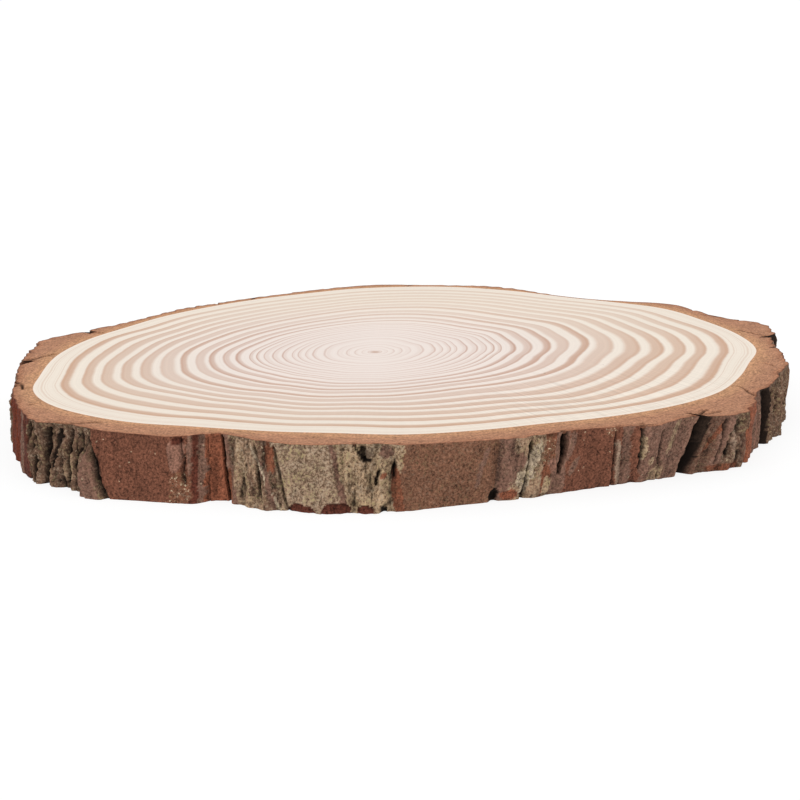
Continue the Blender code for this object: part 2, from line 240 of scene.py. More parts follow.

# where each kind begins at mid height, going round; the shade zones paint shade into a deep notch and a
# deep crack
barkZones = (
    (-180, "old"), (-172.5, "mauve"), (-166, "old"), (-153.5, "redBrown"), (-142.4, "mauve"),
    (-140.6, "darkRed"), (-138, "old"), (-126.4, "smooth"), (-114.4, "darkRed"), (-113.4, "mauve"),
    (-112.6, "orange"), (-110.1, "mauve"), (-108.8, "olive"), (-104.4, "old"), (-102.2, "lichen"),
    (-94.2, "mauve"), (-93.5, "lumpy"), (-85.9, "tan"), (-72.4, "mauve"), (-70.4, "olive"),
    (-65.6, "rust"), (-64.2, "mauve"), (-61.6, "smooth"), (-53.4, "mauve"), (-52, "smooth"),
    (-50.8, "mauve"), (-42.8, "ridged"), (-39.9, "mauve"), (-38.6, "old"), (-35.4, "ridged"),
    (-34.4, "orange"), (-29.4, "mauve"), (-24.6, "shade"), (-22.3, "old"), (-15, "mauve"),
    (-13.4, "old"), (-8, "tan"), (-1, "old"), (6, "olive"), (9.4, "shade"), (12.5, "olive"),
    (17, "old"), (24, "smooth"), (33, "mauve"), (41, "rust"), (47, "tan"), (58, "lichen"),
    (66, "smooth"), (75, "mauve"), (84, "old"), (92, "olive"), (99, "tan"), (108, "smooth"),
    (117, "lichen"), (126, "mauve"), (131, "old"), (139, "smooth"), (147, "olive"), (155, "rust"),
    (160, "old"), (168, "mauve"), (174, "old"),
)

# scales, flakes and holes: angle and level of the middle, half width, half height as a
# level, lean, how much wider the foot is, kind, height, how ragged the edge is
barkPatches = (
    (-127, 0.3, 2.1, 0.46, -2, 0.9, "mauve", 0.5, 0.4),  # three-cornered flake
    (-130.9, 0.34, 1.5, 0.24, 0, 0, "olive", 0.9, 1.2),
    (-132.9, 0.66, 1, 0.34, 1.5, 0, "shade", -0.9, 2.2),  # dark crevices, sunk and painted with shade
    (-136.4, 0.24, 0.6, 0.2, 0, 0, "shade", -0.8, 2),
    (-129.3, 0.38, 0.5, 0.1, 1.5, 0, "shade", -0.9, 1.4),
    (-116, 0.7, 1.8, 0.24, 0, -0.35, "scale", 0.3, 0.3),  # shield
    (-115.95, 0.93, 1.3, 0.05, 0, 0, "darkRed", -0.3, 0.6),
    (-114.5, 0.72, 0.6, 0.28, -0.6, 0, "mauve", 0.25, 1.4),
    (-115.2, 0.2, 2.7, 0.24, -1.5, 0.3, "specked", 0.1, 1.2),
    (-113.2, 0.75, 0.5, 0.34, 0, 0, "mauve", 0.1, 0.8),
    (-109.2, 0.2, 1, 0.3, -1.2, 0, "rust", 0, 1),
    (-106.9, 0.52, 1, 0.45, -3.4, 0, "lumpy", 0.2, 1.5),
    (-105.6, 0.34, 1.1, 0.16, -2, 0, "old", 0, 2.2),
    (-104.6, 0.6, 0.8, 0.14, -2, 0, "mauve", 0.1, 2.2),
    (-109.3, 0.8, 1, 0.22, -1, 0, "old", 0, 1.6),
    (-103.3, 0.8, 1.4, 0.2, -1, 0, "rust", -0.1, 2.9),
    (-103.8, 0.46, 0.45, 0.5, -5, 0, "pale", 0.4, 0.9),  # slanting ridge
    (-103, 0.3, 0.6, 0.3, -2.6, 0, "mauve", 0.1, 1.2),
    (-98.9, 0.04, 3.4, 0.08, 0, 0.3, "darkRed", -0.5, 1.7),  # bare patches at the foot
    (-94.4, 0.05, 3.8, 0.11, 0, 0.2, "darkRed", -0.6, 1.7),
    (-90.3, 0.05, 2.3, 0.08, 0, 0.3, "darkRed", -0.6, 1.7),
    (-89.9, 0.88, 1.5, 0.08, 2, -0.3, "stone", 0.6, 1.8),  # holes in the lumpy lichen: a lit lump, then painted shade in the holes
    (-91.3, 0.87, 0.5, 0.12, -6, 0, "shade", -0.6, 0.8),
    (-90.2, 0.765, 1.1, 0.035, 0, 0, "shade", -0.6, 0.8),
    (-89, 0.54, 0.35, 0.11, 2.4, 0, "shade", 0.4, 0.6),
    (-86.8, 0.64, 0.35, 0.09, 4, 0, "shade", 0.2, 2.2),
    (-87.9, 0.03, 1.2, 0.07, 0, 0, "shade", -0.4, 2.6),
    (-88, 0.56, 0.9, 0.05, 4, 0, "rust", 0.2, 1.6),
    (-87.4, 0.9, 2, 0.09, 0, 0, "mauve", 0.1, 1.6),
    (-86.3, 0.32, 1.5, 0.36, -0.6, 0.2, "rust", 0.35, 1.4),
    (-74.6, 0.56, 0.7, 0.3, 2.5, 0, "mauve", 0.1, 2.8),
    (-69.8, 0.52, 2.2, 0.26, 2, 0, "mauve", 0.45, 1.6),
    (-67.6, 0.48, 1.8, 0.4, 3, -0.2, "pale", 0.5, 2.2),  # pale lichen
    (-68.8, 0.34, 2, 0.14, 0, 0, "pale", 0.3, 2.2),
    (-65, 0.74, 1.7, 0.24, 1, 0, "specked", 0.5, 1.6),
    (-64.4, 0.5, 1.6, 0.12, 0, 0, "scale", 0.5, 1),
    (-65.3, 0.36, 1.5, 0.14, 0, 0, "rust", 0.2, 2.8),
    (-65, 0.16, 1.4, 0.16, 0, 0, "lumpy", 0.1, 1.8),
    (-70.4, 0.11, 3, 0.09, 0, 0, "orange", -0.2, 2),
    (-72.6, 0.1, 1.4, 0.1, 3, 0, "shade", -0.5, 2.6),
    (-61.3, 0.72, 1.2, 0.26, 2.6, 0, "mauve", 0.2, 1.4),
    (-60.4, 0.42, 1, 0.14, 3.6, 0, "mauve", 0.1, 1.6),
    (-55.4, 0.93, 2, 0.08, 0, 0, "specked", 0.15, 1.8),
    (-53.8, 0.42, 0.9, 0.38, -1.8, 0.3, "grey", 0.3, 1.2),  # pale upright strip
    (-51, 0.64, 0.55, 0.26, -2.4, 0, "lumpy", 0.4, 1.8),
    (-49.2, 0.36, 1.2, 0.07, 0, 0, "lumpy", 0.3, 1.6),
    (-46, 0.7, 1.2, 0.26, 1.5, 0, "olive", 0.1, 1.6),
    (-47.6, 0.14, 2.4, 0.12, 0, 0, "olive", 0.1, 1.8),
    (-42.4, 0.5, 1.7, 0.62, 1.2, 0.3, "shade", 0, 0.6),  # the wide gap: painted shade over the lit wall of the crack
    (-37.6, 0.05, 5, 0.08, 0, 0, "rust", -0.4, 1),
    (-40.4, 0.62, 0.6, 0.26, 1.8, 0, "rust", 0, 2.2),
    (-39, 0.8, 0.9, 0.16, 0, 0, "mauve", 0.2, 1.6),
    (-37.4, 0.55, 0.5, 0.36, -2, 0, "grey", 0.2, 1.6),
    (-26.8, 0.42, 0.9, 0.4, 0, 0, "scale", 0.3, 1),
)

barkMesh = {
    "nearStep": 0.19,  # degrees between upright rows of points, camera's side
    "farStep": 0.30,
    "nearFrom": -165,
    "nearTo": -5,
    "sideRows": 36,
    "upperRows": 20,  # across the sawn band
    "lowerRows": 6,
    "crackDepth": 0.9,  # of the fine cracks in the sawn band
    "ruggedEdge": 0.5,  # how far the sawn band crumbles at its outer edge
    "ruggedWidth": 0.9,
    "calmEdge": 0.85,  # how much of the relief fades out under the upper cut
    "calmFrom": 0.84,  # the level where that begins
    "calmOver": 0.14,
    "calmFoot": 0.5,  # and just above the lower cut
    "footReach": 0.10,
    "noiseRadius": 118,
}

# flakes where the photo doesn't look: how many, between which angles
barkFlakes = {
    "count": 90,
    "seed": 5,
    "kinds": ("mauve", "rust", "olive", "scale", "pale", "darkRed", "specked", "shade"),
    "angles": (20, 182),
    "levels": (0, 1),
    "halfWidth": (0.8, 3),
    "halfHeight": (0.06, 0.34),
    "lean": (-3, 3),
    "foot": (-0.5, 0.5),
    "height": (0.15, 0.5),
    "ragged": (0.6, 1.8),
    "crevice": (-1.2, 0.6),  # height and half width where the kind is shade: a crevice painted with shade
}

# where zones and patches end, and the radius at which a patch's width is measured
barkEdges = {"zoneRagged": 0.28, "patchRagged": 0.22, "patchFade": 0.22, "radius": 120}

# what each noise of the bark is for: its size in millimetres, its seed
barkNoises = {
    "ragged": ((1.6, 1.6, 3), 21),
    "fineRagged": (0.7, 22),
    "wander": ((2.5, 2.5, 4), 31),
    "fineWander": (1.3, 32),
    "crevice": ((2, 2, 15), 33),
    "fineCrevice": ((0.8, 0.8, 4.5), 34),
    "lump": (1.35, 35),
    "fineLump": (0.75, 36),
    "fibre": ((0.9, 0.9, 6), 37),
    "ridge": ((1.5, 1.5, 7), 38),
    "smallLump": ((0.6, 0.6, 1), 39),
    "rimCrack": (1.4, 41),
    "crumble": (0.8, 42),
}

# fine forms that the solid lacks: millimetres at a kind's full strength, then how wide
# crevices open, how deep a hollow or an edge has to be, and how dark the painted shade
# in them is; stone lumps are kept out of that shade
barkForms = {
    "crevice": 1.1,
    "fineCrevice": 0.7,
    "ridge": 0.6,
    "lift": 0.4,
    "fineLump": 0.7,
    "smallLump": 0.5,
    "fibre": 0.05,
    "creviceOpen": 0.20,
    "fineCreviceOpen": 0.26,
    "hollowDepth": 1.3,
    "edgeDepth": 0.5,
    "hollowDark": 0.9,
    "creviceDark": 0.40,
    "fineCreviceDark": 0.36,
    "stoneLit": 0.75,
}

columnLean = closedCurve([(fissure[0], fissure[3]) for fissure in barkRelief["fissures"]])
roughAt = closedCurve(barkRelief["roughness"])


def waveRelief(angle, level):
    # lumps of old bark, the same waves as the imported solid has
    draw = np.random.default_rng(barkRelief["waveSeed"])
    height = np.zeros(np.broadcast(angle, level).shape)
    for _ in range(barkRelief["waveCount"]):
        count = draw.integers(*barkRelief["waveTurns"])
        climb = draw.uniform(-barkRelief["waveClimb"], barkRelief["waveClimb"])
        phase = draw.uniform(0, 2 * math.pi)
        height = height + np.sin(np.radians(angle * count) + climb * level + phase)
    return barkRelief["waveHeight"] * height


def underTop(level):
    # 0 on most of the side, 1 right under the upper cut
    return eased((level - barkMesh["calmFrom"]) / barkMesh["calmOver"])


def fissureShare(angle, level, radius, fissure, wander):
    # 1 in the middle of a crack, 0 beside it
    middle, halfWidth, _, lean, low, high, foot = fissure
    across = turnFrom(middle + lean * (level - 0.5), angle) * np.radians(radius) + wander
    width = halfWidth * (1 + foot * (1 - 2 * level))
    opened = eased(barkRelief["crackShoulder"] - np.abs(across) / width)
    return opened * between(level, low, high)


def solidHeight(angle, level, wander):
    # width of the bark as in the imported solid, and the painted shade inside its cracks
    height = barkAtFoot(angle) * (1 - level) + barkAtTop(angle) * level
    even = barkRelief["evenWaves"]
    waves = waveRelief(angle, level) * (even + (1 - even) * roughAt(angle))
    height = height + waves * (1 - barkRelief["calmWaves"] * underTop(level))
    radius = woodRadius(angle) + height
    for first, last, raised, low, high in barkRelief["plates"]:
        shift = (level - 0.5) * columnLean(angle)
        inner = np.minimum(turnFrom(first, angle - shift), -turnFrom(last, angle - shift))
        proud = eased(inner / barkRelief["plateEdge"])
        height = height + raised * proud * between(level, low, high)
    dark = np.zeros_like(height)
    for fissure in barkRelief["fissures"]:
        share = fissureShare(angle, level, radius, fissure, wander)
        height = height - fissure[2] * share
        deep = eased((fissure[2] - barkRelief["darkFrom"]) / barkRelief["darkOver"])
        dark = np.maximum(dark, deep * eased((share - 0.04) / 0.34))
    return height, dark


def flakeList():
    # seeded flakes and scales for the far side
    draw = np.random.default_rng(barkFlakes["seed"])

    def drawn(*names):
        return [draw.uniform(*barkFlakes[name]) for name in names]

    flakes = []
    for _ in range(barkFlakes["count"]):
        kind = barkFlakes["kinds"][draw.integers(len(barkFlakes["kinds"]))]
        flat = kind == "shade"
        raised, wide = barkFlakes["crevice"] if flat else drawn("height", "halfWidth")
        middle, level, high = drawn("angles", "levels", "halfHeight")
        lean, foot, torn = drawn("lean", "foot", "ragged")
        flakes.append((middle, level, wide, high, lean, foot, kind, raised, torn))
    return flakes


def onCylinder(angle, level):
    # places for the noise, in millimetres
    radius = barkMesh["noiseRadius"]
    a = np.radians(angle)
    across = np.cos(a) * radius
    along = np.sin(a) * radius
    return np.stack([across, along, np.broadcast_to(level * thickness, across.shape)], -1)


def spread(values, reach):
    # running mean over a few points each way, round the slice and up it
    for _ in range(2):
        shifted = [np.roll(values, k, axis=1) for k in range(-reach, reach + 1)]
        values = np.mean(shifted, axis=0)
        padded = np.pad(values, ((reach, reach), (0, 0)), mode="edge")
        rows = values.shape[0]
        values = np.mean([padded[k:k + rows] for k in range(2 * reach + 1)], axis=0)
    return values


def barkNoise(places, name):
    size, seed = barkNoises[name]
    return softNoise(places / size, seed)


def linear(colour):
    # a 0 to 255 screen colour as the shader's own numbers
    share = np.asarray(colour, float) / 255
    return np.where(share < 0.04045, share / 12.92, ((share + 0.055) / 1.055) ** 2.4)


def kindMap(angle, level):
    # colour, lichen, lumps, furrows, streaks and flake height at each point
    places = onCylinder(angle, level)
    ragged = barkNoise(places, "ragged") + 0.6 * barkNoise(places, "fineRagged")
    starts, names = zip(*barkZones)
    lean = columnLean(angle) * (level - 0.5)
    wandered = angle - lean + barkEdges["zoneRagged"] * ragged
    zone = np.searchsorted(starts, (wandered + 180) % 360 - 180, side="right") - 1
    kinds = list(barkKinds)
    kind = np.array([kinds.index(name) for name in names])[zone]
    raised = np.zeros(kind.shape)
    for patch in [*barkPatches, *flakeList()]:
        middle, height, halfWidth, halfHeight, lean, foot, name, lift, torn = patch
        up = (level - height) / halfHeight
        width = halfWidth * np.clip(1 - foot * up, 0.05, 2)
        turn = turnFrom(middle + lean * (level - height), angle)
        across = turn * np.radians(barkEdges["radius"])
        distance = np.sqrt((across / width) ** 2 + up ** 4)
        distance = distance + barkEdges["patchRagged"] * torn * ragged
        inside = eased((1 - distance) / barkEdges["patchFade"] + 0.5)
        kind = np.where(distance < 1, kinds.index(name), kind)
        raised = raised + lift * inside
    tints, *shares = zip(*barkKinds.values())
    facts = {"tint": linear(tints)[kind]}
    for fact, values in zip(("lichen", "lumps", "furrows", "streaks", "cream"), shares):
        facts[fact] = np.array(values)[kind]
    facts["lumps"] = spread(facts["lumps"], 1)
    facts["furrows"] = spread(facts["furrows"], 2)
    facts["raised"] = raised
    # lit: stone lumps, kept out of the painted shade
    facts["lit"] = spread((kind == kinds.index("stone")).astype(float), 1)
    return facts


def barkSurface(angle, level):
    # the finished width of the bark, with the facts that its colours need
    forms = barkForms
    places = onCylinder(angle, level)
    facts = kindMap(angle, level)
    wander = 0.4 * barkNoise(places, "wander") + 0.2 * barkNoise(places, "fineWander")
    height, dark = solidHeight(angle, level, wander)
    footReach = barkMesh["footReach"]
    calm = 1 - barkMesh["calmEdge"] * underTop(level)
    calm = calm * (1 - barkMesh["calmFoot"] * eased((footReach - level) / footReach))
    crevice = eased(1 - np.abs(barkNoise(places, "crevice")) / forms["creviceOpen"])
    fine = eased(1 - np.abs(barkNoise(places, "fineCrevice")) / forms["fineCreviceOpen"])
    lump = barkNoise(places, "lump") + forms["fineLump"] * barkNoise(places, "fineLump")
    lump = lump + forms["smallLump"] * barkNoise(places, "smallLump")
    furrow = forms["crevice"] * crevice + forms["fineCrevice"] * fine
    furrow = furrow - forms["ridge"] * barkNoise(places, "ridge") - forms["lift"]
    height = height - facts["furrows"] * calm * furrow
    height = height + facts["lumps"] * calm * lump + facts["raised"]
    height = height + forms["fibre"] * barkNoise(places, "fibre")
    height = np.maximum(height, outline["leastBark"])
    # painted shade: darker in hollows, crevices and deep cracks of the relief
    hollow = np.clip((spread(height, 4) - height) / forms["hollowDepth"], 0, 1)
    # edge: above 0 where the bark lies lower than round it, below 0 where it stands proud
    facts["edge"] = np.clip((spread(height, 2) - height) / forms["edgeDepth"], -1, 1)
    furrowDark = forms["creviceDark"] * crevice + forms["fineCreviceDark"] * fine
    crackShade = dark + forms["hollowDark"] * hollow + facts["furrows"] * furrowDark
    facts["dark"] = np.clip(crackShade, 0, 1) * (1 - forms["stoneLit"] * facts.pop("lit"))
    return height, facts


print("wood slice: outline and bark relief ready")


# Meshes from closed rows of points

def addAttribute(mesh, name, values, domain="POINT"):
    values = np.asarray(values, float)
    if values.shape[-1] == 3 and values.ndim > 1:
        flat = values.reshape(-1, 3)
        colours = np.concatenate([flat, np.ones((len(flat), 1))], axis=1)
        layer = mesh.attributes.new(name, "FLOAT_COLOR", domain)
        layer.data.foreach_set("color", colours.ravel())
    else:
        layer = mesh.attributes.new(name, "FLOAT", domain)
        layer.data.foreach_set("value", values.ravel())


def addBakeMap(mesh, corners):
    layer = mesh.uv_layers.new(name="OFBake")
    layer.data.foreach_set("uv", np.asarray(corners, float).ravel())


def linked(name, data):
    made = bpy.data.objects.new(name, data)
    bpy.context.scene.collection.objects.link(made)
    return made


def addPiece(name, mesh, material):
    mesh.materials.append(material)
    mesh.shade_smooth()
    mesh.set_sharp_from_angle(angle=math.radians(40))
    piece = linked(name, mesh)
    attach(piece, "root")
    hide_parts("wood_slice")
    return piece


def ringPoints(angles, radius, height):
    x = pith[0] + radius * np.cos(np.radians(angles))
    y = pith[1] + radius * np.sin(np.radians(angles))
    return np.stack([x, y, np.broadcast_to(height, x.shape)], axis=-1)


# Bark: a closed ring, its outside in relief, with a sawn band above and below

# fine cracks in the upper sawn band: points as angle and share of its width, half width
rimCracks = (
    (((-172.2, 1.05), (-175.2, 0.6), (-178.3, 0.19)), 0.85),
    (((-170.8, 1.05), (-173, 0.72)), 0.8),
    (((-159, 1.05), (-157.6, 0.8), (-156.9, 0.66), (-153.6, 0.55), (-154.2, 0.16)), 0.7),
    (((-156, 1.05), (-156.4, 0.84)), 0.8),
    (((-144.1, 0.66), (-144.3, 0.31)), 0.45),
    (((-133.6, 1), (-131.8, 0.82), (-129.4, 0.42)), 0.8),
    (((-111.9, 1), (-112.4, 0.78)), 0.45),
    (((-91.8, 1), (-91.9, 0.86)), 0.5),
    (((-89.4, 1), (-89.2, 0.9)), 0.4),
    (((-86, 0.86), (-85.8, 0.82)), 0.4),
    (((-62.4, 1), (-61.9, 0.84)), 0.7),
    (((-54.6, 0.92), (-53.6, 0.9)), 0.3),
    (((-51.6, 1), (-51.2, 0.82)), 0.8),
    (((-50.6, 0.9), (-50, 0.96)), 0.3),
    (((-43.4, 1), (-41.2, 0.72), (-38.9, 0.5)), 1.1),
    (((-41.2, 0.8), (-38.4, 0.7)), 0.6),
    (((-23.5, 0.25), (-24.8, 0.55), (-26.5, 0.76), (-28.2, 1)), 0.6),
    (((-6.3, 0.22), (-8, 0.5), (-9.4, 0.71)), 0.35),
    (((15.9, 0.24), (13.6, 0.42), (12.5, 0.54), (10.4, 1)), 1.2),
    (((26.2, 0.95), (28.4, 0.8)), 0.5),
    (((50, 0.5), (53, 0.6)), 0.35),
    (((84, 1), (85.2, 0.6), (84.4, 0.3)), 0.45),
    (((116, 1), (117.2, 0.5)), 0.45),
    (((161.4, 1), (162.6, 0.6), (161.8, 0.25)), 0.8),
)


def distanceToLine(points, start, end):
    along = end - start
    share = np.clip(((points - start) @ along) / (along @ along), 0, 1)
    return np.linalg.norm(points - start - share[..., None] * along, axis=-1)


def rimCrackShare(points):
    # 1 in the middle of a fine crack of the sawn band, tapering to its inner end
    share = np.zeros(points.shape[:-1])
    ragged = barkNoise(points, "rimCrack")
    for corners, halfWidth in rimCracks:
        angles, widths = np.array(corners, float).T
        line = ringPoints(angles, woodRadius(angles) + widths * barkAtTop(angles), 0)[:, :2]
        for start, end, width in zip(line, line[1:], widths):
            reach = halfWidth * (0.3 + 0.9 * width ** 2)
            away = distanceToLine(points[..., :2], start, end) / reach + 0.3 * ragged
            share = np.maximum(share, eased(1.35 - away))
    return share


def barkRows():
    near = np.arange(barkMesh["nearFrom"], barkMesh["nearTo"], barkMesh["nearStep"])
    far = np.arange(barkMesh["nearTo"], barkMesh["nearFrom"] + 360, barkMesh["farStep"])
    columns = np.concatenate([near, far])
    levels = np.linspace(0, 1, barkMesh["sideRows"] + 1)[:, None]
    angle = columns + columnLean(columns) * (levels - 0.5)
    height, facts = barkSurface(angle, levels)
    rows = [ringPoints(angle, woodRadius(angle) + height, levels * thickness)]
    extra = {"fromWood": [height], "fromBark": [0 * height], "dark": [facts["dark"]]}

    def sawnBand(shares, row, upper):
        # shares run over the bark's width, 1 at its outer edge
        a = angle[row] + np.zeros_like(shares)
        width = height[row] * shares
        points = ringPoints(a, woodRadius(a) + width, levels[row, 0] * thickness)
        outer = height[row] - width
        crumble = eased(1 - outer / barkMesh["ruggedWidth"]) * barkMesh["ruggedEdge"]
        drop = crumble * np.clip(barkNoise(points, "crumble") + roughAt(a) - 0.6, 0, 1)
        dark = np.zeros_like(width)
        # the fine cracks of the upper band are sunk and filled with painted shade
        if upper:
            dark = rimCrackShare(points)
            drop = drop + dark * barkMesh["crackDepth"]
        points[..., 2] += -drop if upper else drop
        rows.append(points)
        extra["fromWood"].append(width)
        extra["fromBark"].append(outer)
        extra["dark"].append(dark)

    above = barkMesh["upperRows"]
    below = barkMesh["lowerRows"]
    sawnBand(1 - np.arange(1, above + 1)[:, None] / above, -1, True)
    sawnBand(np.arange(below)[:, None] / below, 0, False)
    for name in ("tint", "lichen", "streaks", "cream", "edge"):
        side = facts[name]
        extra[name] = [side, *[side[-1:]] * above, *[side[:1]] * below]
    joined = {name: np.concatenate(parts) for name, parts in extra.items()}
    return columns, np.concatenate(rows), joined


def barkMap(columns, rows):
    # four strips of bark, one over the other, each with its sawn bands
    side = barkMesh["sideRows"]
    upper = barkMesh["upperRows"]
    bands = ((side, 18.5), (upper, 16), (1, 1), (rows - side - upper - 1, 9))
    steps = np.concatenate([np.full(count, size / count) for count, size in bands])
    share = np.cumsum(np.append(0, steps))
    stripSpan = 90
    stripHeight = 47
    wide = 202
    turned = columns - columns[0]
    strip = np.minimum((turned // stripSpan).astype(int), 3)
    left = (turned - strip * stripSpan) / stripSpan
    right = (np.append(turned[1:], 360) - strip * stripSpan) / stripSpan
    across = np.stack([left, right, right, left], axis=-1) * 0.96 + 0.01
    up = np.stack([share[:-1], share[:-1], share[1:], share[1:]], axis=-1)
    u = np.broadcast_to(across[None], (rows, len(columns), 4))
    v = (up[:, None, :] + 3 + strip[None, :, None] * stripHeight) / wide
    return np.stack([u, v], axis=-1)


def makeBark(material):
    columns, rows, facts = barkRows()
    count, around = rows.shape[:2]
    lower = np.arange(count * around).reshape(count, around)
    upper = np.roll(lower, -1, axis=0)
    faces = [lower, np.roll(lower, -1, axis=1), np.roll(upper, -1, axis=1), upper]
    mesh = bpy.data.meshes.new("bark")
    mesh.from_pydata(rows.reshape(-1, 3) * mm, [], np.stack(faces, -1).reshape(-1, 4))
    cut = np.zeros((count, around))
    cut[barkMesh["sideRows"]:] = 1
    addAttribute(mesh, "cut", cut, "FACE")
    for name, values in facts.items():
        addAttribute(mesh, name, values)
    addBakeMap(mesh, barkMap(columns, count))
    return addPiece("bark", mesh, material)


# Sawn wood: both faces inside the bark, with points on every growth ring

growth = {
    # places of the rings that show most, every 15 degrees from -180, in thousandths of
    # the wood's radius
    "guides": {
        6: (169, 167, 161, 165, 172, 179, 174, 165, 155, 143, 131, 131,
            129, 134, 142, 153, 168, 180, 187, 190, 190, 188, 185, 177),
        16: (443, 438, 410, 402, 428, 455, 442, 423, 409, 386, 370, 369,
             370, 382, 394, 419, 432, 440, 443, 443, 441, 439, 442, 439),
        20: (613, 607, 590, 589, 601, 625, 603, 583, 566, 554, 553, 560,
             554, 591, 609, 638, 655, 660, 655, 645, 630, 620, 620, 615),
        23: (760, 779, 761, 725, 741, 771, 752, 761, 766, 786, 751, 750,
             766, 776, 783, 810, 815, 805, 795, 785, 778, 773, 770, 769),
        26: (946, 939, 934, 936, 933, 946, 940, 950, 945, 949, 952, 948,
             934, 952, 941, 960, 955, 950, 950, 950, 950, 951, 941, 954),
    },
    # how the rings between two guides share the room
    "between": (
        (0, 6, (0.154, 0.266, 0.402, 0.562, 0.734)),
        (6, 16, (0.125, 0.20, 0.287, 0.352, 0.47, 0.58, 0.675, 0.758, 0.837)),
        (16, 20, (0.225, 0.48, 0.72)),
        (20, 23, (0.35, 0.69)),
        (23, 26, (0.34, 0.66)),
        (26, 27, ()),
    ),
    "rowsPerRing": 3,
    "columns": 360,
    "tuck": 0.3,  # the edge runs this far in under the bark
}


def ringRadii(angles):
    # radius of each ring boundary, from the pith to the bark
    radii = {0: np.zeros_like(angles), 27: woodRadius(angles)}
    for number, shares in growth["guides"].items():
        knots = [(15 * i - 180, share) for i, share in enumerate(shares)]
        radii[number] = closedCurve(knots)(angles) / 1000 * woodRadius(angles)
    rows = [radii[0]]
    for inner, outer, places in growth["between"]:
        for place in (*places, 1):
            rows.append(radii[inner] * (1 - place) + radii[outer] * place)
    return np.array(rows)


def woodMap(flat, faces, around, ringRows):
    # size and place of both faces and of the hidden wall, as shares of the bake map
    upperSize, upperPlace = 0.395, 0.40
    lowerSize, lowerPlace = 0.170, 0.825
    wallSize, wallPlace, wallHeight = 0.6, 0.985, 0.01
    middle = (flat.max(axis=0) + flat.min(axis=0)) / 2
    half = (flat.max(axis=0) - flat.min(axis=0)).max() / 2
    spot = ((flat - middle) / half)[[corner for face in faces for corner in face]]
    sizes = [len(face) for face in faces]
    order = np.arange(len(faces))
    onTop = np.repeat(order < around * ringRows, sizes)
    onWall = np.repeat(order // around == ringRows, sizes)
    placed = np.where(onTop[:, None], spot * upperSize + upperPlace,
                      spot * lowerSize + lowerPlace)
    turn = np.tile([0, 0, 1, 1], around) + np.repeat(np.arange(around), 4)
    placed[onWall, 0] = turn / around * wallSize
    placed[onWall, 1] = wallPlace + wallHeight * np.tile([1, 0, 0, 1], around)
    return placed


def makeWood(material):
    angles = np.arange(growth["columns"]) * 360 / growth["columns"]
    boundaries = ringRadii(angles)
    steps = growth["rowsPerRing"]
    numbers = np.arange(1, (len(boundaries) - 1) * steps + 1) / steps
    whole = np.minimum(numbers.astype(int), len(boundaries) - 2)
    part = (numbers - whole)[:, None]
    radii = boundaries[whole] * (1 - part) + boundaries[whole + 1] * part
    radii = np.vstack([radii, radii[-1:] + growth["tuck"]])
    numbers = np.append(numbers, numbers[-1] + 0.1)
    top = ringPoints(angles + np.zeros_like(radii), radii, thickness)
    top[-1, :, 2] -= 0.1 * growth["tuck"]
    foot = top[::-1] * (1, 1, -1) + (0, 0, thickness)
    centre = np.array([[pith[0], pith[1], thickness], [pith[0], pith[1], 0]])
    points = np.concatenate([centre, top.reshape(-1, 3), foot.reshape(-1, 3)])
    ring = [0, 0, *np.repeat([*numbers, *numbers[::-1]], len(angles))]

    around = len(angles)
    rows = 2 * len(radii)
    index = np.arange(rows * around).reshape(rows, around) + 2
    following = np.roll(index, -1, axis=1)
    quads = np.stack([index[:-1], index[1:], following[1:], following[:-1]], axis=-1)
    faces = [(0, a, b) for a, b in zip(index[0], following[0])]
    faces += quads.reshape(-1, 4).tolist()
    faces += [(1, b, a) for a, b in zip(index[-1], following[-1])]
    mesh = bpy.data.meshes.new("sawn_wood")
    mesh.from_pydata(points * mm, [], faces)
    addAttribute(mesh, "ring", ring)
    addBakeMap(mesh, woodMap(points[:, :2], faces, around, len(radii)))
    return addPiece("sawn_wood", mesh, material)


# Finishes

def operator(operation, reflected=False):
    def worked(wire, other):
        pair = (other, wire) if reflected else (wire, other)
        return wire.finish.maths(operation, *pair)

    return worked


class Wire:
    # an output socket of a finish; arithmetic on it adds Math nodes
    def __init__(self, finish, socket):
        self.finish = finish
        self.socket = socket

    __add__ = operator("ADD")
    __radd__ = operator("ADD", True)
    __sub__ = operator("SUBTRACT")
    __rsub__ = operator("SUBTRACT", True)
    __mul__ = operator("MULTIPLY")
    __rmul__ = operator("MULTIPLY", True)

    def over(self, start, full):
        # 0 up to start, 1 from full on, smooth between them
        return self.finish.node(
            "ShaderNodeMapRange", {"clamp": True, "interpolation_type": "SMOOTHSTEP"},
            {"Value": self, "From Min": start, "From Max": full})


